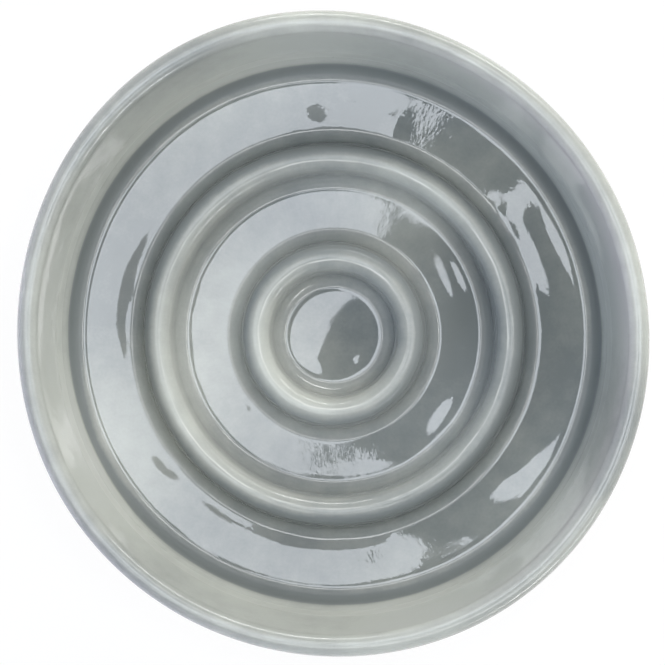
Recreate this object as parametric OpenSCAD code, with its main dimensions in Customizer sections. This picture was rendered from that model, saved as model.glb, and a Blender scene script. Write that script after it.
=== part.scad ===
// Slow feeder bowl of glazed stoneware. Rounded rings stand on its floor, so that food lies in the
// channels between them and has to be licked out slowly. A silicone ring in the foot stops it sliding.
// The origin is on the bowl's axis at the standing surface, with +Z up and all lengths in millimetres.
// Each outline is a list of corners, every one a distance from the axis, a height and a rounding. It runs
// out along the floor, over the lip and back under the foot, with the clay on its right and air on its left.

/* [Bowl] */
// Diameter over the lip, with the glaze
rim_d = 230; // [212:1:250]
// Height from the standing surface to the top of the lip, with the glaze
bowl_h = 52; // [44:1:62]
// Thickness of the clay wall
wall_t = 7; // [5.5:0.1:9]
// Rounding of the inner and outer edge of the lip
lip_round_r = 3.3; // [2:0.1:3.6]
// Lean of the wall outward from upright, in degrees
wall_lean = 14; // [8:0.5:18]
// Thickness of the clay floor
floor_t = 6.5; // [5:0.5:9]
// Radius of the hollow where the floor turns up into the wall
wall_fillet_r = 7; // [4:0.5:9]
// Rounding of the outside edge where the wall turns under
heel_round_r = 10; // [6:0.5:11]

/* [Feeding rings] */
// Height of the rings above the floor
ring_h = 16; // [10:0.5:20]
// Rounding of a ring's crest
crest_r = 4.6; // [3:0.2:6]
// Lean of a ring's sides from upright, in degrees
ring_lean = 9; // [5:1:14]
// Radius of the hollow at the foot of a ring
ring_fillet_r = 6; // [3:0.2:7]
// Width of the flat floor between the outer ring and the wall
outer_channel_w = 16; // [10:0.5:20]
// Width of the flat floor between two rings
middle_channel_w = 13.4; // [8:0.2:18]

/* [Underside] */
// Height of the foot ring under the floor
foot_h = 3; // [2.6:0.2:5]
// Width of the foot ring
foot_w = 9; // [8:0.5:12]
// Distance from the edge of the flat floor in to the middle of the foot ring
foot_inset = 5.6; // [4:0.2:9]
// Rounding of the foot ring's lower edges
foot_edge_r = 0.8; // [0.4:0.1:1]
// Radius of the hollow where the foot ring meets the underside
foot_fillet_r = 1.2; // [0.9:0.1:1.5]
// Depth of the hollow under each feeding ring, which keeps the clay even
relief_h = 7; // [4:0.5:8]
// Radius of the top of that hollow
relief_crown_r = 3; // [2:0.2:3.4]
// Rounding of that hollow's edges
relief_edge_r = 2; // [1:0.2:3]

/* [Anti-slip ring] */
// Width of the silicone ring's section
strip_w = 4.4; // [3.4:0.2:5.2]
// Height of the silicone ring's section
strip_t = 3.2; // [2.6:0.2:4]
// How far the silicone ring stands out of the foot
strip_proud = 1; // [0.6:0.1:1.6]
// Rounding of the silicone ring's edges
strip_edge_r = 0.8; // [0.4:0.1:1.1]
// Clearance on each side of the silicone ring in its groove
strip_gap = 0.15; // [0.05:0.05:0.3]
// Rounding of the groove's mouth
groove_edge_r = 0.4; // [0.2:0.1:0.5]

/* [Glaze] */
// Thickness of the fired glaze
glaze_t = 0.4; // [0.2:0.1:0.8]

/* [Hidden] */
// Facets of a full turn and the angle that each chord of a rounding spans, in degrees
$fn = 180;
chord_angle = 7.5;
// The most of the wall that one edge of the lip may round away
lip_round_max_share = 0.48;

// Heights, from the standing surface up
foot_z = strip_proud;
under_z = foot_z + foot_h;
floor_z = under_z + floor_t;
lip_z = bowl_h - glaze_t;
// The glaze stops half-way up the straight part of the foot ring's sides
dry_z = (foot_z + foot_edge_r + under_z - foot_fillet_r) / 2;

// Lip and wall
lip_r = min(lip_round_r, lip_round_max_share * wall_t);
lip_outer_r = rim_d / 2 - glaze_t - lip_r + lip_r * tan((90 + wall_lean) / 2);
lip_inner_r = lip_outer_r - wall_t / cos(wall_lean);
wall_corner_r = lip_inner_r - (lip_z - floor_z) * tan(wall_lean);
heel_corner_r = lip_outer_r - (lip_z - under_z) * tan(wall_lean);
floor_edge_r = wall_corner_r - reach(wall_fillet_r, wall_lean);

// Feeding rings: their two sides would meet at a point above the rounded crest
ring_apex_h = apex_h(ring_h, crest_r, ring_lean);
ring_side_w = ring_apex_h * tan(ring_lean);
ring_half_w = ring_side_w + reach(ring_fillet_r, ring_lean);
outer_ring_r = floor_edge_r - outer_channel_w - ring_half_w;
ring_pitch = middle_channel_w + 2 * ring_half_w;
// As many rings as leave the middle of the floor as wide as the flat between two rings
ring_count = floor((outer_ring_r - ring_half_w - middle_channel_w / 2) / ring_pitch) + 1;
// Their radii, from the innermost out
ring_radii = [for (i = [ring_count - 1:-1:0]) outer_ring_r - i * ring_pitch];

// Hollows under the feeding rings
relief_apex_h = apex_h(relief_h, relief_crown_r, ring_lean);
relief_side_w = relief_apex_h * tan(ring_lean);

// Foot ring, its groove and the silicone ring in it
foot_mid_r = floor_edge_r - foot_inset;
foot_outer_r = foot_mid_r + foot_w / 2;
foot_inner_r = foot_mid_r - foot_w / 2;
strip_outer_r = foot_mid_r + strip_w / 2;
strip_inner_r = foot_mid_r - strip_w / 2;
groove_outer_r = strip_outer_r + strip_gap;
groove_inner_r = strip_inner_r - strip_gap;

// How far a rounding of radius r runs along a level floor from the corner with a side that leans
function reach(r, lean) = r * tan((90 - lean) / 2);
// Height at which two leaning sides meet, where a crest of radius r rounds them off at height h
function apex_h(h, r, lean) = h - r + r / sin(lean);

// Corners of a ridge or hollow that stands on a level line, from its near side to its far side
function ridge(mid, base_z, side_w, apex, crown, foot) = [
    [mid - side_w, base_z, foot],
    [mid, base_z + apex, crown],
    [mid + side_w, base_z, foot]
];

// Corners of the hollow under the feeding ring of radius r
function relief(r) = ridge(r, under_z, relief_side_w, relief_apex_h, relief_crown_r, relief_edge_r);

function unit(v) = v / norm(v);
function place(corner) = [corner[0], corner[1]];

// An open end of an outline, moved out into the air by lift
function end_point(corner, way, lift) =
    let (on = unit(place(way)))
    place(corner) + lift * [-on[1], on[0]];

// The points of one corner between its neighbours, rounded and moved out into the air by lift
function corner_points(before, corner, after, lift) =
    let (
        back = unit(place(before - corner)),
        on = unit(place(after - corner)),
        turn = sign(cross(-back, on)),
        half = acos(back * on) / 2,
        centre = place(corner) + unit(back + on) * corner[2] / sin(half),
        start = place(corner) + back * corner[2] / tan(half) - centre,
        from = atan2(start[1], start[0]),
        sweep = turn * (180 - 2 * half),
        chords = ceil(abs(sweep) / chord_angle)
    )
    corner[2] == 0 ? [place(corner)] : [
        for (i = [0:chords])
            let (a = from + sweep * i / chords)
            centre + (corner[2] - turn * lift) * [cos(a), sin(a)]
    ];

// The points of an open outline, moved out into the air by lift
function path(corners, lift = 0) =
    let (last = len(corners) - 1)
    concat(
        [end_point(corners[0], corners[1] - corners[0], lift)],
        [
            for (i = [1:last - 1])
                each corner_points(corners[i - 1], corners[i], corners[i + 1], lift)
        ],
        [end_point(corners[last], corners[last] - corners[last - 1], lift)]
    );

// The points of a closed outline
function loop(corners) =
    let (count = len(corners))
    [
        for (i = [0:count - 1])
            each corner_points(corners[(i + count - 1) % count], corners[i], corners[(i + 1) % count], 0)
    ];

function reversed(list) = [for (i = [len(list) - 1:-1:0]) list[i]];

// The section of a coat of glaze on an outline of clay
function coat(corners) = concat(path(corners, glaze_t), reversed(path(corners)));

// Clay from the middle of the floor over the lip and down to the dry foot
upper_corners = concat(
    [[0, floor_z, 0]],
    [for (r = ring_radii) each ridge(r, floor_z, ring_side_w, ring_apex_h, crest_r, ring_fillet_r)],
    [
        [wall_corner_r, floor_z, wall_fillet_r],
        [lip_inner_r, lip_z, lip_r],
        [lip_outer_r, lip_z, lip_r],
        [heel_corner_r, under_z, heel_round_r],
        [foot_outer_r, under_z, foot_fillet_r],
        [foot_outer_r, dry_z, 0]
    ]
);

// Bare clay of the foot ring with the groove for the silicone ring
foot_corners = [
    [foot_outer_r, foot_z, foot_edge_r],
    [groove_outer_r, foot_z, groove_edge_r],
    [groove_outer_r, strip_t, 0],
    [groove_inner_r, strip_t, 0],
    [groove_inner_r, foot_z, groove_edge_r],
    [foot_inner_r, foot_z, foot_edge_r]
];

// Clay from the dry foot in to the middle of the underside
under_corners = concat(
    [
        [foot_inner_r, dry_z, 0],
        [foot_inner_r, under_z, foot_fillet_r]
    ],
    reversed([for (r = ring_radii) each relief(r)]),
    [[0, under_z, 0]]
);

// The silicone ring, which fills the groove up to its top
strip_corners = [
    [strip_outer_r, strip_t, strip_edge_r],
    [strip_outer_r, 0, strip_edge_r],
    [strip_inner_r, 0, strip_edge_r],
    [strip_inner_r, strip_t, strip_edge_r]
];

// Turns a section round the bowl's axis
module turned(points, tint) {
    color(tint) rotate_extrude() polygon(points);
}

// The fired clay: wall, floor, feeding rings and foot in one piece
module stoneware_body() {
    turned(loop(concat(upper_corners, foot_corners, under_corners)), "#d8cebc");
}

// The glaze that shows, inside, over the lip and outside
module glaze_coat() {
    turned(coat(upper_corners), "#a9b1ac");
}

// The glaze inside the foot ring
module underside_glaze() {
    turned(coat(under_corners), "#a0a9a3");
}

// The silicone ring that the bowl stands on
module anti_slip_ring() {
    turned(loop(strip_corners), "#8e9493");
}

stoneware_body();
glaze_coat();
underside_glaze();
anti_slip_ring();
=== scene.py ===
# A glazed stoneware slow feeder bowl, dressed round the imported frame.
# Lengths are written in millimetres and turned into metres where a mesh or lamp is made.
import math
import bpy
import numpy as np
from mathutils import Matrix, Vector


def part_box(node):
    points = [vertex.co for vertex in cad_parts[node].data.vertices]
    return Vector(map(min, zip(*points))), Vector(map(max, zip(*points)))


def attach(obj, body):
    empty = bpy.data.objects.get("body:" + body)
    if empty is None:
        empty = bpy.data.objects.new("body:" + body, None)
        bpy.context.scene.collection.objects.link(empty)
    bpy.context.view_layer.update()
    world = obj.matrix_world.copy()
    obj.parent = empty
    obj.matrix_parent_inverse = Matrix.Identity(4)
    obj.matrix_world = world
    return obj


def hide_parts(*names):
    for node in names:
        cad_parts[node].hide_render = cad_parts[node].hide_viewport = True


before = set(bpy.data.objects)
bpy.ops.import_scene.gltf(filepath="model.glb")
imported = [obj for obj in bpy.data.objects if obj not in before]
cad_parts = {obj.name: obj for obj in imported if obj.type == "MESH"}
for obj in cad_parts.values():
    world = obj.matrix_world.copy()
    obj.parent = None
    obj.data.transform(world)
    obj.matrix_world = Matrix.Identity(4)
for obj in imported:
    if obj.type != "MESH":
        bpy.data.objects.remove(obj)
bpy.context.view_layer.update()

MM = 0.001

# Sizes of the bowl, as in the part's source
rim_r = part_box("glaze_coat")[1].x / MM
bowl_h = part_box("glaze_coat")[1].z / MM
strip_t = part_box("anti_slip_ring")[1].z / MM
wall_t = 7.0
lip_r = 3.3
wall_lean = 14.0
floor_t = 6.5
wall_fillet_r = 7.0
heel_round_r = 10.0
ring_h = 16.0
crest_r = 4.6
ring_lean = 9.0
ring_fillet_r = 6.0
outer_channel_w = 16.0
middle_channel_w = 13.4
foot_h = 3.0
foot_w = 9.0
foot_inset = 5.6
foot_edge_r = 0.8
foot_fillet_r = 1.2
relief_h = 7.0
relief_crown_r = 3.0
relief_edge_r = 2.0
strip_w = 4.4
strip_proud = 1.0
strip_edge_r = 0.8
strip_gap = 0.15
groove_edge_r = 0.4
glaze_t = 0.4

# Camera, straight above and a little to the right of the bowl's axis
camera_at = Vector((31.0, -6.0, 1100.0))
camera_aim = Vector((0.0, 0.0, 25.0))
# Width of the picture as a share of the distance to what it shows
view_w_share = 0.227
sensor_w = 36.0
image_w = 665
rim_centre_px = (331.1, 334.1)


def tan(degrees):
    return math.tan(math.radians(degrees))


def reach(r, lean):
    """How far a rounding runs along a level floor from the corner with a side that leans."""
    return r * tan((90 - lean) / 2)


def apex_h(h, r, lean):
    """Where two leaning sides meet, above a crest of radius r at height h."""
    return h - r + r / math.sin(math.radians(lean))


# Corners of the section, worked out as the part's source does
foot_z = strip_proud
under_z = foot_z + foot_h
floor_z = under_z + floor_t
lip_z = bowl_h - glaze_t
dry_z = (foot_z + foot_edge_r + under_z - foot_fillet_r) / 2
lip_outer_r = rim_r - glaze_t - lip_r + lip_r * tan((90 + wall_lean) / 2)
lip_inner_r = lip_outer_r - wall_t / math.cos(math.radians(wall_lean))
wall_corner_r = lip_inner_r - (lip_z - floor_z) * tan(wall_lean)
heel_corner_r = lip_outer_r - (lip_z - under_z) * tan(wall_lean)
floor_edge_r = wall_corner_r - reach(wall_fillet_r, wall_lean)
ring_apex_h = apex_h(ring_h, crest_r, ring_lean)
ring_side_w = ring_apex_h * tan(ring_lean)
ring_half_w = ring_side_w + reach(ring_fillet_r, ring_lean)
outer_ring_r = floor_edge_r - outer_channel_w - ring_half_w
inner_ring_r = outer_ring_r - middle_channel_w - 2 * ring_half_w
relief_apex_h = apex_h(relief_h, relief_crown_r, ring_lean)
relief_side_w = relief_apex_h * tan(ring_lean)
foot_mid_r = floor_edge_r - foot_inset
foot_outer_r = foot_mid_r + foot_w / 2
foot_inner_r = foot_mid_r - foot_w / 2
strip_outer_r = foot_mid_r + strip_w / 2
strip_inner_r = foot_mid_r - strip_w / 2


def ridge(mid, base_z, side_w, apex, crown, foot):
    return [(mid - side_w, base_z, foot), (mid, base_z + apex, crown), (mid + side_w, base_z, foot)]


feeding_ridges = []
reliefs = []
for ring_r in (inner_ring_r, outer_ring_r):
    feeding_ridges += ridge(ring_r, floor_z, ring_side_w, ring_apex_h, crest_r, ring_fillet_r)
    reliefs += ridge(ring_r, under_z, relief_side_w, relief_apex_h, relief_crown_r, relief_edge_r)

upper_corners = [(0.0, floor_z, 0.0)] + feeding_ridges + [
    (wall_corner_r, floor_z, wall_fillet_r),
    (lip_inner_r, lip_z, lip_r),
    (lip_outer_r, lip_z, lip_r),
    (heel_corner_r, under_z, heel_round_r),
    (foot_outer_r, under_z, foot_fillet_r),
    (foot_outer_r, dry_z, 0.0),
]
foot_corners = [
    (foot_outer_r, foot_z, foot_edge_r),
    (strip_outer_r + strip_gap, foot_z, groove_edge_r),
    (strip_outer_r + strip_gap, strip_t, 0.0),
    (strip_inner_r - strip_gap, strip_t, 0.0),
    (strip_inner_r - strip_gap, foot_z, groove_edge_r),
    (foot_inner_r, foot_z, foot_edge_r),
]
under_corners = [
    (foot_inner_r, dry_z, 0.0),
    (foot_inner_r, under_z, foot_fillet_r),
] + reliefs[::-1] + [(0.0, under_z, 0.0)]
strip_corners = [
    (strip_outer_r, strip_t, strip_edge_r),
    (strip_outer_r, 0.0, strip_edge_r),
    (strip_inner_r, 0.0, strip_edge_r),
    (strip_inner_r, strip_t, strip_edge_r),
]


def unit(v):
    return v / np.linalg.norm(v)


# Straight runs of a section from this length up are the bowl's walls
wall_length = 30.0


class Profile:
    """Points of a section with their normals into the air and their curvature, hollows positive."""

    def __init__(self, corners, chord, step, closed=False):
        points = [np.array(c[:2]) for c in corners]
        count = len(corners)
        self.at, self.normal, self.bend = [], [], []
        ends = range(count) if closed else range(1, count - 1)
        arcs = {}
        for i in ends:
            arcs[i] = self.arc(points[i - 1], points[i], points[(i + 1) % count], corners[i][2], chord)
        if not closed:
            on = unit(points[1] - points[0])
            arcs[0] = ([points[0]], [np.array((-on[1], on[0]))], 0.0)
            on = unit(points[-1] - points[-2])
            arcs[count - 1] = ([points[-1]], [np.array((-on[1], on[0]))], 0.0)
        for i in range(count):
            spots, normals, bend = arcs[i]
            for spot, normal in zip(spots, normals):
                self.put(spot, normal, bend)
            if i + 1 < count or closed:
                self.straight(spots[-1], arcs[(i + 1) % count][0][0], step)
        self.at = np.array(self.at)
        self.normal = np.array(self.normal)
        self.bend = np.array(self.bend)
        gaps = np.linalg.norm(np.diff(self.at, axis=0), axis=1)
        self.run = np.concatenate([[0.0], np.cumsum(gaps)])

    def put(self, spot, normal, bend):
        self.at.append(spot)
        self.normal.append(normal)
        self.bend.append(bend)

    def straight(self, start, end, step):
        length = np.linalg.norm(end - start)
        # the bowl's walls are plain cones and need fewer points
        parts = max(1, math.ceil(length / (step if length < wall_length else 2 * step)))
        on = unit(end - start)
        for k in range(1, parts):
            self.put(start + (end - start) * k / parts, np.array((-on[1], on[0])), 0.0)

    @staticmethod
    def arc(before, corner, after, r, chord):
        """The rounding of one corner: points, normals and curvature."""
        back = unit(before - corner)
        on = unit(after - corner)
        if r == 0:
            middle = unit(np.array((back[1] - on[1], on[0] - back[0])))
            return [corner], [middle], 0.0
        turn = math.copysign(1.0, -back[0] * on[1] + back[1] * on[0])
        half = math.acos(float(back @ on)) / 2
        centre = corner + unit(back + on) * r / math.sin(half)
        start = corner + back * r / math.tan(half) - centre
        first = math.atan2(start[1], start[0])
        sweep = turn * (math.pi - 2 * half)
        parts = max(2, math.ceil(abs(sweep) / math.radians(chord)))
        spots, normals = [], []
        for k in range(parts + 1):
            a = first + sweep * k / parts
            way = np.array((math.cos(a), math.sin(a)))
            spots.append(centre + r * way)
            normals.append(-turn * way)
        return spots, normals, turn / r


def smooth_along(values, run, width):
    """Values blurred along the section with a bell of that width."""
    weights = np.exp(-0.5 * ((run[:, None] - run[None, :]) / width) ** 2)
    lengths = np.gradient(run)
    weights *= lengths[None, :]
    return weights @ values / weights.sum(axis=1)


class Waves:
    """A smooth random field in space: a sum of plane waves, the same at every run."""

    def __init__(self, seed, count, shortest, longest):
        rng = np.random.default_rng(seed)
        ways = rng.normal(size=(count, 3))
        ways /= np.linalg.norm(ways, axis=1)[:, None]
        lengths = np.exp(rng.uniform(math.log(shortest), math.log(longest), count))
        self.k = ways * (2 * math.pi / lengths)[:, None]
        self.phase = rng.uniform(0, 2 * math.pi, count)
        self.size = lengths / np.sqrt((lengths ** 2).sum() / 2)

    def __call__(self, at):
        return np.cos(at @ self.k.T + self.phase) @ self.size


# Points of each ring, and the distance from the axis below which a ring is a single point
turn_steps = 320
axis_r = 1e-6
turns = np.arange(turn_steps) * (2 * math.pi / turn_steps)

# Warp from the kiln, as lobes of the rim's radius: count, size, angle in the picture's sense
rim_lobes = ((2, 1.77, 67.0), (3, 0.45, 13.0), (4, 0.31, -29.0))
warp_power = 4.0
warp_share = sum(
    size * np.cos(count * (turns + math.radians(angle))) for count, size, angle in rim_lobes
) / rim_r

# Slow waves in the clay, and low swellings that hands and kiln left on the floor. Each swelling has its
# azimuth clockwise in the picture, its distance from the axis, its half length round the bowl and half
# width across, the twist of its length inward and its height.
wave_size = 0.04
clay_waves = Waves(7, 48, 18.0, 60.0)
swellings = (
    (38.5, 81.5, 15.0, 5.0, 17.0, 0.36),
    (59.0, 85.5, 13.0, 5.5, 20.0, 0.25),
    (323.5, 74.5, 4.0, 8.5, 0.0, 0.42),
    (338.0, 87.5, 9.0, 2.4, -4.0, 0.16),
    (339.0, 76.0, 9.0, 2.6, 0.0, 0.26),
    (80.0, 76.0, 8.0, 2.0, 0.0, 0.20),
    (95.0, 76.0, 8.0, 2.0, 0.0, 0.20),
    (110.0, 76.0, 8.0, 2.0, 0.0, 0.20),
    (125.0, 76.6, 8.0, 2.2, 0.0, 0.26),
    (142.0, 78.2, 5.0, 2.4, -15.0, 0.34),
    (177.0, 76.2, 8.0, 2.0, 0.0, 0.16),
    (192.0, 76.5, 9.0, 2.2, 0.0, 0.20),
    (206.0, 76.5, 8.0, 2.0, -3.0, 0.18),
    (265.0, 78.0, 2.3, 4.0, 0.0, 0.18),
    (286.0, 80.0, 2.8, 5.0, 0.0, 0.15),
    (35.0, 53.0, 9.0, 3.6, 0.0, 0.48),
    (64.0, 50.5, 8.0, 4.0, 20.0, 0.26),
    (311.0, 54.5, 7.0, 2.4, 0.0, 0.13),
    (336.0, 48.5, 9.0, 2.4, 0.0, 0.27),
    (150.0, 53.6, 7.0, 1.9, 0.0, 0.08),
    (166.0, 53.6, 8.0, 1.9, 0.0, 0.10),
    (184.0, 53.6, 9.0, 1.9, 0.0, 0.10),
    (203.0, 53.6, 8.0, 1.9, 0.0, 0.08),
    (141.0, 43.5, 2.6, 1.5, 0.0, 0.10),
    (118.0, 11.0, 6.0, 2.6, 0.0, 0.10),
    (44.0, 13.4, 1.5, 1.1, 0.0, 0.06),
)


def unevenness(ring):
    """How far each point of the turned clay is raised; the underside and the foot stay true."""
    x, y, z = ring[..., 0], ring[..., 1], ring[..., 2]
    rise = wave_size * clay_waves(ring.reshape(-1, 3)).reshape(x.shape)
    for azimuth, distance, half_length, half_width, twist, height in swellings:
        a = -math.radians(azimuth)
        along = a - math.radians(90 + twist)
        dx, dy = x - distance * math.cos(a), y - distance * math.sin(a)
        u = dx * math.cos(along) + dy * math.sin(along)
        v = dy * math.cos(along) - dx * math.sin(along)
        rise += height * np.exp(-0.5 * ((u / half_length) ** 2 + (v / half_width) ** 2))
    return rise * np.clip((z - under_z) / (floor_z - under_z), 0, 1) ** 2


def revolve(section):
    """A section of radii and heights turned round the axis and warped, as rings of points."""
    r = section[:, 0][:, None]
    out = r * (1 + warp_share[None, :] * (r / rim_r) ** (warp_power - 1))
    ring = np.empty((len(section), turn_steps, 3))
    ring[..., 0] = out * np.cos(turns)
    ring[..., 1] = out * np.sin(turns)
    ring[..., 2] = section[:, 1][:, None]
    ring[..., 2] += unevenness(ring)
    return ring


def lift_along(section, normal, lift):
    """The turned section moved along its normals by lift, one value for each point of each ring."""
    ring = revolve(section)
    ring[..., 0] += lift * normal[:, 0][:, None] * np.cos(turns)
    ring[..., 1] += lift * normal[:, 0][:, None] * np.sin(turns)
    ring[..., 2] += lift * normal[:, 1][:, None]
    return ring


def skin(name, rings, values):
    """A closed mesh of rings of points. Rings of radius zero become one point each."""
    verts, starts = [], []
    kept = []
    count = 0
    for ring, value in zip(rings, values):
        starts.append(count)
        if np.hypot(ring[:, 0], ring[:, 1]).max() < axis_r:
            verts.append(ring[:1])
            kept.append(value[:1])
            count += 1
        else:
            verts.append(ring)
            kept.append(value)
            count += turn_steps
    sizes = [len(v) for v in verts]
    faces = []
    for a, b in zip(range(len(rings)), list(range(1, len(rings))) + [0]):
        if sizes[a] == 1 and sizes[b] == 1:
            continue
        for i in range(turn_steps):
            j = (i + 1) % turn_steps
            if sizes[a] == 1:
                faces.append((starts[a], starts[b] + i, starts[b] + j))
            elif sizes[b] == 1:
                faces.append((starts[a] + i, starts[b], starts[a] + j))
            else:
                faces.append((starts[a] + i, starts[b] + i, starts[b] + j, starts[a] + j))
    mesh = bpy.data.meshes.new(name)
    mesh.from_pydata((np.concatenate(verts) * MM).tolist(), [], faces)
    mesh.shade_smooth()
    layer = mesh.attributes.new("pooling_and_shade", "FLOAT", "POINT")
    layer.data.foreach_set("value", np.concatenate(kept).astype(np.float32))
    mesh.validate()
    piece = bpy.data.objects.new(name, mesh)
    bpy.context.scene.collection.objects.link(piece)
    return piece


def finish_piece(piece, slot, *nodes):
    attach(piece, "root")
    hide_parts(*nodes)
    return piece


# How finely sections are drawn: degrees to a chord of a rounding, and millimetres to a straight step
glaze_chord = 8.0
glaze_step = 1.25
plain_chord = 11.0
plain_step = 3.6
# The most that the clay may turn, and run on, between two rings of a coat's inner face
inner_turn = 25.0
inner_length = 8.0

# Glaze: thin on the crests and the lip, pooled in the hollows. The depth value is 0 for the thinnest
# glaze and 1 for the deepest. It also holds painted shade at the wall's foot and on the rings' outer
# shoulders, and a painted sheen at the rings' feet. Each height is above the floor.
pool_spread = 1.6
pool_smooth = 0.8
drain_inset = 0.5
well_flat_h = 0.1
flat_h = 0.2
wall_pool = 0.22
flat_pool = 0.44
centre_pool = 0.45
# a little lighter than the flats: a painted sheen at the feet of the rings
ring_foot_sheen_pool = 0.42
side_pool = 0.46
ring_foot_h = 1.6
ring_side_h = 6.0
shoulder_h = 11.0
inner_shoulder_pool = 0.39
# painted shade: the rings' outer shoulders are painted darker than their inner ones
outer_shoulder_shade_pool = 0.54
crest_pool = 0.37
# painted shade: how much the foot of the wall is darkened where it bends into the floor
wall_hollow_shade_gain = 3.9
crest_fade = 1.0
lip_pool = 0.36
lip_fade = 4.5
thin_share = 0.72
edge_taper = 0.5
mottle_size = 0.06
long_waves = Waves(21, 16, 60.0, 140.0)

# Noises of the materials, each with its wavelength in millimetres, its detail and its roughness
cloud_grain = (9.0, 3.0, 0.55)
fine_grain = (1.1, 2.0, 0.6)
wander_grain = (14.0, 2.0, 0.5)
highlight_patch_grain = (17.0, 2.0, 0.5)
comb_grain = (0.7, 1.0, 0.5)
ripple_grain = (5.0, 3.0, 0.5)
throw_grain = (0.9, 2.0, 0.6)
peel_grain = (0.6, 1.0, 0.5)
clay_grain = (14.0, 4.0, 0.6)
sand_grain = (0.7, 3.0, 0.7)
silicone_grain = (20.0, 3.0, 0.5)
dust_grain = (0.5, 2.0, 0.7)

# Colours of the glaze from where it is thinnest to where it is deepest; the painted shade and sheen in
# the depth value take these colours too
glaze_stops = (
    (0.0, (176, 177, 173)),
    (0.22, (170, 172, 165)),
    (0.38, (146, 148, 143)),
    (0.5, (121, 125, 124)),
    (1.0, (98, 103, 101)),
)
cloud_depth = 0.16
fine_depth = 0.05
under_glaze_shift = 0.35

# Gloss of the glaze, and what wear takes from it
glaze_roughness = 0.012
fine_roughness = 0.02
worn_roughness = 0.3
glaze_ior = 1.4
glaze_specular = 0.5
worn_specular = 0.4
coat_weight = 0.5
coat_roughness = 0.02
coat_ior = 1.5

# Painted highlight: a pale line just inside each crest of the feeding rings, where the lamps glint
highlight_line_inset = 1.0
highlight_line_width = 0.42
highlight_line_wander = 1.2
painted_highlight_colour = (212, 211, 205)
highlight_patch_stops = ((0.38, 0.05), (0.62, 0.5))

# Iron specks and pinholes: their spacing, the share of it that one fills, and how few places have one
speck_spacing = 6.0
speck_size = 0.035
speck_rarity = 0.93
speck_share = 0.6
speck_colour = (60, 58, 52)

# Relief of the glaze's surface
peel_height = 0.0004
ripple_height = 0.024
comb_height = 0.0075
comb_stretch = 0.35
throw_height = 0.03
throw_stretch = 0.02

# Where the relief and the wear show, by distance from the axis or by height, as shares of ramp_span
ramp_span = 100.0
ripple_stops = ((0.12, 0.25), (0.4, 1.0))
comb_stops = ((0.2, 0.0), (0.6, 1.0))
throw_stops = ((0.13, 0.0), (0.2, 1.0), (0.27, 1.0), (0.3, 0.2), (0.45, 0.2), (0.5, 0.8))
worn_stops = ((0.2, 0.0), (0.25, 1.0), (0.29, 1.0), (0.32, 0.0), (0.47, 0.0), (0.51, 0.5))

# Bare clay with sand in it
clay_stops = ((0.3, (199, 186, 164)), (0.7, (218, 207, 188)))
sand_stops = ((0.35, 0.5), (0.5, 0.0))
sand_colour = (150, 134, 110)
sand_height = 0.05
clay_roughness = 0.85

# Silicone with dust on it
silicone_stops = ((0.3, (136, 141, 141)), (0.7, (148, 153, 153)))
dust_stops = ((0.62, 0.0), (0.75, 0.4))
dust_colour = (190, 190, 186)
dust_height = 0.015
silicone_roughness = 0.48
silicone_cloud_roughness = 0.15
silicone_ior = 1.41

# Studio
floor_half = 3000.0
floor_drop = 0.02
floor_paint = 0.86
floor_white_share = 0.92
ambient_level = 0.15
ambient_colour = (0.92, 0.94, 1.0)
flag_z = 1107.0
flag_paint = 0.02
flag_outline = (
    (38.0, 146.0), (8.0, 86.0), (-39.0, 2.0), (-40.0, -91.0), (11.0, -162.0),
    (62.0, -222.0), (112.0, -185.0), (146.0, -135.0), (170.0, -70.0), (178.0, 0.0),
    (168.0, 64.0), (138.0, 122.0), (112.0, 168.0), (64.0, 200.0),
)
# Watts that a square metre of a soft box gets for a strength of 1
watts_per_strength = 4.0
lamp_distance = 1300.0
lamp_aim = (0.0, 0.0, 30.0)
strip_colour = (0.97, 0.98, 1.0)
white = (1.0, 1.0, 1.0)


def inner_rings(clay):
    """The points of the section at which the coat's inner face needs a ring to lie on the clay."""
    last = len(clay.at) - 1
    cosines = np.clip((clay.normal[1:] * clay.normal[:-1]).sum(axis=1), -1.0, 1.0)
    turned = np.concatenate([[0.0], np.cumsum(np.degrees(np.arccos(cosines)))])
    kept = [last]
    for i in range(last - 1, 0, -1):
        before = kept[-1]
        turns_too_far = turned[before] - turned[i - 1] > inner_turn
        runs_too_far = clay.run[before] - clay.run[i - 1] > inner_length
        if turns_too_far or runs_too_far:
            kept.append(i)
    kept.append(0)
    # at a tapered end the outer face already has the ring on the clay
    return [i for i in kept if 0 < i < last or clay.at[i, 0] < axis_r]


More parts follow.
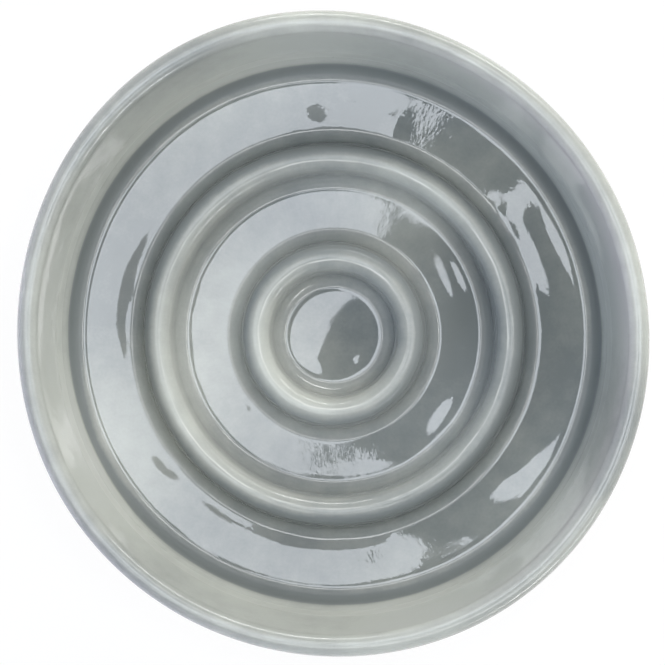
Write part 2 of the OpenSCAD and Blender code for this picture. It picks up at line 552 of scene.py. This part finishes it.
def glaze(name, corners, nodes, chord, step):
    """A closed coat of glaze on the clay's surface, tapering to nothing at the dry foot."""
    clay = Profile(corners, chord, step)
    last = len(clay.at) - 1
    bend = smooth_along(clay.bend, clay.run, pool_spread)
    r, z = clay.at[:, 0], clay.at[:, 1]
    drained = smooth_along(1.0 * (r > wall_corner_r - drain_inset), clay.run, pool_spread)
    in_well = r < inner_ring_r
    up = z - floor_z
    # painted shade: below the crest, the rings' outer sides, which the wall shades, are painted darker
    # than their inner sides
    outside = ((r > inner_ring_r) & (r < (inner_ring_r + outer_ring_r) / 2)) | (r > outer_ring_r)
    stations = (flat_h, ring_foot_h, ring_side_h, shoulder_h, ring_h - crest_fade, ring_h)
    shoulder_pool_and_shade = np.where(outside, outer_shoulder_shade_pool, inner_shoulder_pool)
    # the feet of the rings get a painted sheen, a little lighter than the flats
    low = np.interp(up, stations, (flat_pool, ring_foot_sheen_pool, side_pool, 0, 0, crest_pool))
    to_shoulder = np.interp(up, stations, (0, 0, 0, 1, 1, 0))
    pooling_and_shade = low + shoulder_pool_and_shade * to_shoulder
    pooling_and_shade[in_well & (up < well_flat_h)] = centre_pool
    # the wall takes the thin glaze's value, and painted shade darkens its foot where it bends into the
    # floor
    pooling_and_shade += (wall_pool - pooling_and_shade + wall_hollow_shade_gain * np.maximum(bend, 0)) * drained
    pooling_and_shade += (lip_pool - pooling_and_shade) * np.clip(1 - (lip_z - z) / lip_fade, 0, 1)
    pooling_and_shade = smooth_along(np.clip(pooling_and_shade, 0.0, 1.0), clay.run, pool_smooth)
    thick = glaze_t * (thin_share + (2 - 2 * thin_share) * pooling_and_shade)
    for i in (0, last):
        if clay.at[i, 0] > axis_r:
            away = np.clip(np.abs(clay.run - clay.run[i]) / edge_taper, 0, 1)
            thick *= np.sqrt(1 - (1 - away) ** 2)
    ring = revolve(clay.at)
    spots = ring.reshape(-1, 3)
    size = (last + 1, turn_steps)
    lift = np.repeat(thick[:, None], turn_steps, axis=1)
    shade = pooling_and_shade[:, None] + mottle_size * long_waves(spots).reshape(size)
    inner = inner_rings(clay)
    rings = list(lift_along(clay.at, clay.normal, lift)) + [ring[i] for i in inner]
    values = list(shade) + [shade[i] for i in inner]
    return finish_piece(skin(name, rings, values), "glaze", *nodes)


def solid(name, corners, closed, slot, nodes):
    """A piece without glaze, drawn from its corners."""
    section = Profile(corners, plain_chord, plain_step, closed)
    ring = revolve(section.at)
    return finish_piece(skin(name, list(ring), list(np.zeros(ring.shape[:2]))), slot, *nodes)


glaze_upper = glaze("glaze_upper", upper_corners, ["glaze_coat"], glaze_chord, glaze_step)
glaze_under = glaze("glaze_under", under_corners, ["underside_glaze"], plain_chord, plain_step)
clay_corners = upper_corners + foot_corners + under_corners
clay = solid("clay_body", clay_corners, False, "stoneware", ["stoneware_body"])
grip = solid("grip_ring", strip_corners, True, "silicone", ["anti_slip_ring"])


class Nodes:
    """Short calls for building a material's nodes."""

    def __init__(self, tree):
        self.tree = tree
        tree.nodes.clear()

    def add(self, kind, inputs=None, **settings):
        node = self.tree.nodes.new(kind)
        for key, value in settings.items():
            setattr(node, key, value)
        for key, value in (inputs or {}).items():
            socket = node.inputs[key]
            if isinstance(value, bpy.types.NodeSocket):
                self.tree.links.new(value, socket)
            else:
                socket.default_value = value
        return node

    def math(self, operation, a, b=0.0, clamp=False):
        return self.add("ShaderNodeMath", {0: a, 1: b}, operation=operation, use_clamp=clamp).outputs[0]

    def mix(self, share, a, b):
        node = self.add("ShaderNodeMix", data_type="RGBA", blend_type="MIX")
        for key, value in ((0, share), (6, a), (7, b)):
            if isinstance(value, bpy.types.NodeSocket):
                self.tree.links.new(value, node.inputs[key])
            else:
                node.inputs[key].default_value = value
        return node.outputs[2]

    def from_axis(self):
        """The distance of the shaded point from the bowl's axis, and its coordinates."""
        at = self.add("ShaderNodeTexCoord").outputs["Object"]
        place = self.add("ShaderNodeSeparateXYZ", {0: at}).outputs
        squares = [self.math("MULTIPLY", place[i], place[i]) for i in (0, 1)]
        return self.math("SQRT", self.math("ADD", *squares)), place

    def noise(self, at, grain):
        wavelength, detail, roughness = grain
        inputs = {"Vector": at, "Scale": 1 / (wavelength * MM), "Detail": detail, "Roughness": roughness}
        return self.add("ShaderNodeTexNoise", inputs).outputs["Fac"]

    def about_middle(self, value):
        """A noise of 0 to 1 as one that swings about 0."""
        return self.math("SUBTRACT", value, 0.5)

    def tints(self, value, stops):
        """Colours along a value, given in the picture's values."""
        return self.ramp(value, [(place, linear(*rgb)) for place, rgb in stops])

    def levels(self, value, stops):
        """Plain levels along a value."""
        return self.ramp(value, [(place, level(v)) for place, v in stops])

    def levels_by_length(self, length, stops):
        """Plain levels along a distance or height in metres."""
        return self.levels(self.math("MULTIPLY", length, 1 / (ramp_span * MM)), stops)

    def ramp(self, value, stops):
        node = self.add("ShaderNodeValToRGB", {"Fac": value})
        ramp = node.color_ramp
        ramp.interpolation = "LINEAR"
        while len(ramp.elements) < len(stops):
            ramp.elements.new(0.5)
        for element, (place, colour) in zip(ramp.elements, stops):
            element.position = place
            element.color = colour
        return node.outputs["Color"]


def linear(*rgb):
    """A colour given in the picture's 0 to 255 values, as the light values that shaders use."""
    shares = [v / 255 for v in rgb]
    # the usual curve between a picture's values and light
    light = [v / 12.92 if v <= 0.04045 else ((v + 0.055) / 1.055) ** 2.4 for v in shares]
    return (*light, 1.0)


def level(v):
    """A grey of that light value."""
    return (v, v, v, 1.0)


def new_material(name):
    material = bpy.data.materials.new(name)
    material.use_nodes = True
    return material, Nodes(material.node_tree)


def glaze_material(name, shift):
    """The glaze's finish; shift moves its noises, so that two coats don't share their marks."""
    material, n = new_material(name)
    at = n.add("ShaderNodeTexCoord").outputs["Object"]
    at = n.add("ShaderNodeVectorMath", {0: at, 1: (shift, 0.0, 0.0)}, operation="ADD").outputs[0]
    # the depth value: the glaze's pooling, with the painted shade and sheen set in glaze()
    pooling_and_shade = n.add("ShaderNodeAttribute", attribute_name="pooling_and_shade").outputs["Fac"]
    cloud = n.noise(at, cloud_grain)
    fine = n.noise(at, fine_grain)
    depth = n.math("ADD", pooling_and_shade, n.math("MULTIPLY", n.about_middle(cloud), cloud_depth))
    depth = n.math("ADD", depth, n.math("MULTIPLY", n.about_middle(fine), fine_depth))
    colour = n.tints(depth, glaze_stops)
    # a painted highlight: a fine pale line just inside each crest
    distance, place = n.from_axis()
    wander = n.math("MULTIPLY", n.about_middle(n.noise(at, wander_grain)), highlight_line_wander * MM)
    patchy = n.levels(n.noise(at, highlight_patch_grain), highlight_patch_stops)
    for ring_r in (inner_ring_r, outer_ring_r):
        off = n.math("SUBTRACT", n.math("ADD", distance, wander), (ring_r - highlight_line_inset) * MM)
        off = n.math("DIVIDE", n.math("ABSOLUTE", off), highlight_line_width * MM)
        line = n.math("SUBTRACT", 1.0, off, clamp=True)
        colour = n.mix(n.math("MULTIPLY", line, patchy), colour, linear(*painted_highlight_colour))
    # iron specks and pinholes
    scale = 1 / (speck_spacing * MM)
    cells = n.add("ShaderNodeTexVoronoi", {"Vector": at, "Scale": scale, "Randomness": 1.0})
    near = n.math("LESS_THAN", cells.outputs["Distance"], speck_size)
    draw = n.add("ShaderNodeSeparateColor", {0: cells.outputs["Color"]}).outputs[0]
    speck = n.math("MULTIPLY", near, n.math("GREATER_THAN", draw, speck_rarity))
    colour = n.mix(n.math("MULTIPLY", speck, speck_share), colour, linear(*speck_colour))
    # the surface: broad ripples, fine marks that run out from the axis, throwing rings and orange peel
    azimuth = n.math("ARCTAN2", place[1], place[0])
    round_bowl = n.math("MULTIPLY", azimuth, outer_ring_r * MM)
    outward = n.math("MULTIPLY", distance, comb_stretch)
    comb_at = n.add("ShaderNodeCombineXYZ", {0: round_bowl, 1: outward, 2: 0.0}).outputs[0]
    comb = n.about_middle(n.noise(comb_at, comb_grain))
    comb = n.math("MULTIPLY", comb, n.levels_by_length(distance, comb_stops))
    ripple = n.about_middle(n.noise(at, ripple_grain))
    ripple = n.math("MULTIPLY", ripple, n.levels_by_length(distance, ripple_stops))
    along = n.math("MULTIPLY", round_bowl, throw_stretch)
    throw_at = n.add("ShaderNodeCombineXYZ", {0: along, 1: distance, 2: place[2]}).outputs[0]
    throw = n.about_middle(n.noise(throw_at, throw_grain))
    throw = n.math("MULTIPLY", throw, n.levels_by_length(place[2], throw_stops))
    reliefs_of_glaze = (
        (ripple, ripple_height),
        (comb, comb_height),
        (throw, throw_height),
        (n.noise(at, peel_grain), peel_height),
    )
    total = 0.0
    for height, size in reliefs_of_glaze:
        total = n.math("ADD", total, n.math("MULTIPLY", height, size * MM))
    bump = n.add("ShaderNodeBump", {"Height": total, "Distance": 1.0, "Strength": 1.0})
    # the crests of the feeding rings and the lip are dulled a little by use
    worn = n.levels_by_length(place[2], worn_stops)
    gloss = n.math("ADD", glaze_roughness, n.math("MULTIPLY", fine, fine_roughness))
    gloss = n.math("ADD", gloss, n.math("MULTIPLY", worn, worn_roughness))
    specular = n.math("SUBTRACT", glaze_specular, n.math("MULTIPLY", worn, worn_specular))
    shader = n.add("ShaderNodeBsdfPrincipled", {
        "Base Color": colour,
        "Roughness": gloss,
        "IOR": glaze_ior,
        "Specular IOR Level": specular,
        "Coat Weight": coat_weight,
        "Coat Roughness": coat_roughness,
        "Coat IOR": coat_ior,
        "Coat Normal": bump.outputs[0],
        "Normal": bump.outputs[0],
    })
    n.add("ShaderNodeOutputMaterial", {"Surface": shader.outputs[0]})
    return material


def clay_material():
    """Bare fired clay, matt and sandy."""
    material, n = new_material("bare_clay")
    at = n.add("ShaderNodeTexCoord").outputs["Object"]
    cloud = n.noise(at, clay_grain)
    sand = n.noise(at, sand_grain)
    colour = n.tints(cloud, clay_stops)
    colour = n.mix(n.levels(sand, sand_stops), colour, linear(*sand_colour))
    bump = n.add("ShaderNodeBump", {"Height": sand, "Distance": sand_height * MM, "Strength": 1.0})
    shader = n.add("ShaderNodeBsdfPrincipled", {
        "Base Color": colour,
        "Roughness": clay_roughness,
        "Normal": bump.outputs[0],
    })
    n.add("ShaderNodeOutputMaterial", {"Surface": shader.outputs[0]})
    return material


def silicone_material():
    """Grey silicone with a little dust on it."""
    material, n = new_material("grey_silicone")
    at = n.add("ShaderNodeTexCoord").outputs["Object"]
    cloud = n.noise(at, silicone_grain)
    dust = n.noise(at, dust_grain)
    colour = n.tints(cloud, silicone_stops)
    colour = n.mix(n.levels(dust, dust_stops), colour, linear(*dust_colour))
    bump = n.add("ShaderNodeBump", {"Height": dust, "Distance": dust_height * MM, "Strength": 1.0})
    rough = n.math("MULTIPLY", cloud, silicone_cloud_roughness)
    shader = n.add("ShaderNodeBsdfPrincipled", {
        "Base Color": colour,
        "Roughness": n.math("ADD", silicone_roughness, rough),
        "IOR": silicone_ior,
        "Normal": bump.outputs[0],
    })
    n.add("ShaderNodeOutputMaterial", {"Surface": shader.outputs[0]})
    return material


glaze_upper.data.materials.append(glaze_material("grey_green_glaze", 0.0))
glaze_under.data.materials.append(glaze_material("grey_green_glaze_under", under_glaze_shift))
clay.data.materials.append(clay_material())
grip.data.materials.append(silicone_material())


def make_floor():
    """A plain white floor that keeps the bowl's shadow."""
    mesh = bpy.data.meshes.new("studio_floor")
    half = floor_half * MM
    low = -floor_drop * MM
    corners = [(-half, -half, low), (half, -half, low), (half, half, low), (-half, half, low)]
    mesh.from_pydata(corners, [], [(0, 1, 2, 3)])
    floor = bpy.data.objects.new("studio_floor", mesh)
    bpy.context.scene.collection.objects.link(floor)
    material, n = new_material("white_floor")
    path = n.add("ShaderNodeLightPath").outputs
    seen = n.math("MAXIMUM", path["Is Camera Ray"], path["Is Glossy Ray"])
    seen = n.math("MAXIMUM", seen, path["Is Transmission Ray"])
    paint = n.add("ShaderNodeBsdfDiffuse", {"Color": level(floor_paint)})
    glow = n.add("ShaderNodeEmission", {"Color": level(1.0), "Strength": 1.0})
    share = n.math("MULTIPLY", seen, floor_white_share)
    shader = n.add("ShaderNodeMixShader", {0: share, 1: paint.outputs[0], 2: glow.outputs[0]})
    n.add("ShaderNodeOutputMaterial", {"Surface": shader.outputs[0]})
    mesh.materials.append(material)


def make_world():
    """White where it is seen or mirrored, and a low even light elsewhere."""
    world = bpy.data.worlds.new("studio")
    bpy.context.scene.world = world
    world.use_nodes = True
    n = Nodes(world.node_tree)
    path = n.add("ShaderNodeLightPath").outputs
    seen = n.math("MAXIMUM", path["Is Camera Ray"], path["Is Glossy Ray"])
    seen = n.math("MAXIMUM", seen, path["Is Transmission Ray"])
    colour = ambient_colour + (1.0,)
    ambient = n.add("ShaderNodeBackground", {"Color": colour, "Strength": ambient_level})
    backdrop = n.add("ShaderNodeBackground", {"Color": level(1.0), "Strength": 1.0})
    shader = n.add("ShaderNodeMixShader", {0: seen, 1: ambient.outputs[0], 2: backdrop.outputs[0]})
    n.add("ShaderNodeOutputWorld", {"Surface": shader.outputs[0]})


def aimed(at, aim, up=(0.0, 1.0, 0.0)):
    """The turn that points -Z from one place to another, with the picture's top towards up."""
    back = (Vector(at) - Vector(aim)).normalized()
    side = Vector(up).cross(back).normalized()
    return Matrix((side, back.cross(side), back)).transposed().to_euler()


def lamp(name, at, aim, width, depth, strength, colour, role):
    """A soft box of that size in millimetres.

    In the role diffuse it lights the scene and isn't mirrored. In the roles mirror and streak it is only
    mirrored, as a rectangle and as an ellipse.
    """
    light = bpy.data.lights.new(name, "AREA")
    light.shape = "ELLIPSE" if role == "streak" else "RECTANGLE"
    light.size = width * MM
    light.size_y = depth * MM
    light.energy = watts_per_strength * light.size * light.size_y * strength
    light.color = colour
    box = bpy.data.objects.new(name, light)
    bpy.context.scene.collection.objects.link(box)
    box.location = Vector(at) * MM
    overhead = at[:2] == aim[:2]
    box.rotation_euler = aimed(at, aim, (0.0, 1.0, 0.0) if overhead else (0.0, 0.0, 1.0))
    box.visible_camera = False
    box.visible_glossy = role != "diffuse"
    box.visible_diffuse = role == "diffuse"


def lamp_place(azimuth, elevation):
    """A place given by its direction in the picture, clockwise from the right, and its height angle."""
    a = -math.radians(azimuth)
    e = math.radians(elevation)
    out = lamp_distance * math.cos(e)
    return (out * math.cos(a), out * math.sin(a), lamp_distance * math.sin(e))


# Soft boxes that face the floor: name, place, width, depth, strength, colour and role
ceiling_lamps = (
    ("overhead_box", 75.0, 0.0, 1125.0, 650.0, 430.0, 4.65, (0.87, 0.92, 1.0), "mirror"),
    ("overhead_light", 75.0, 0.0, 1130.0, 650.0, 430.0, 9.0, (0.87, 0.945, 1.0), "diffuse"),
    ("west_strip", -430.0, 0.0, 1125.0, 130.0, 700.0, 5.0, strip_colour, "mirror"),
    ("south_strip", 0.0, -400.0, 1125.0, 900.0, 130.0, 5.0, strip_colour, "mirror"),
    ("north_strip", 0.0, 400.0, 1125.0, 900.0, 130.0, 5.0, strip_colour, "mirror"),
)
# Soft boxes round the bowl: name, azimuth, elevation, width, depth, strength, colour and role
side_lamps = (
    ("window_fill", 288.0, 25.0, 1700.0, 520.0, 6.0, (1.0, 0.99, 0.965), "diffuse"),
    ("side_fill", 42.0, 27.0, 1200.0, 520.0, 4.1, (1.0, 0.995, 0.98), "diffuse"),
    ("west_fill", 152.0, 24.0, 1200.0, 520.0, 3.1, (0.6, 0.73, 1.0), "diffuse"),
    ("low_fill", 165.0, 4.6, 1200.0, 90.0, 20.0, (0.9, 0.75, 1.0), "diffuse"),
    ("east_strip", 5.0, 62.0, 900.0, 60.0, 8.0, white, "streak"),
    ("window_strip", 287.0, 19.0, 1700.0, 90.0, 14.0, white, "streak"),
    ("side_strip", 50.0, 19.0, 800.0, 90.0, 14.0, white, "streak"),
)


def make_flag():
    """A black card beside the camera, which leaves the dark shape in the reflections."""
    mesh = bpy.data.meshes.new("black_card")
    points = [(x * MM, y * MM, flag_z * MM) for x, y in flag_outline]
    mesh.from_pydata(points, [], [tuple(range(len(points)))])
    card = bpy.data.objects.new("black_card", mesh)
    bpy.context.scene.collection.objects.link(card)
    material, n = new_material("black_card")
    shader = n.add("ShaderNodeBsdfDiffuse", {"Color": level(flag_paint)})
    n.add("ShaderNodeOutputMaterial", {"Surface": shader.outputs[0]})
    mesh.materials.append(material)
    card.visible_camera = False


def make_camera():
    """The camera, shifted so that the rim lies where the photographed one does."""
    data = bpy.data.cameras.new("camera")
    camera = bpy.data.objects.new("camera", data)
    bpy.context.scene.collection.objects.link(camera)
    camera.location = camera_at * MM
    turn = aimed(camera_at, camera_aim)
    camera.rotation_euler = turn
    data.sensor_width = sensor_w
    data.lens = sensor_w / view_w_share
    local = turn.to_matrix().inverted() @ (Vector((0.0, 0.0, bowl_h)) - camera_at)
    data.shift_x = 0.5 - local.x / local.z / view_w_share - rim_centre_px[0] / image_w
    data.shift_y = rim_centre_px[1] / image_w - 0.5 - local.y / local.z / view_w_share
    bpy.context.scene.camera = camera


make_floor()
make_world()
make_flag()
for name, x, y, z, *settings in ceiling_lamps:
    lamp(name, (x, y, z), (x, y, 0.0), *settings)
for name, azimuth, elevation, *settings in side_lamps:
    lamp(name, lamp_place(azimuth, elevation), lamp_aim, *settings)
make_camera()

scene = bpy.context.scene
scene.view_settings.view_transform = "Standard"
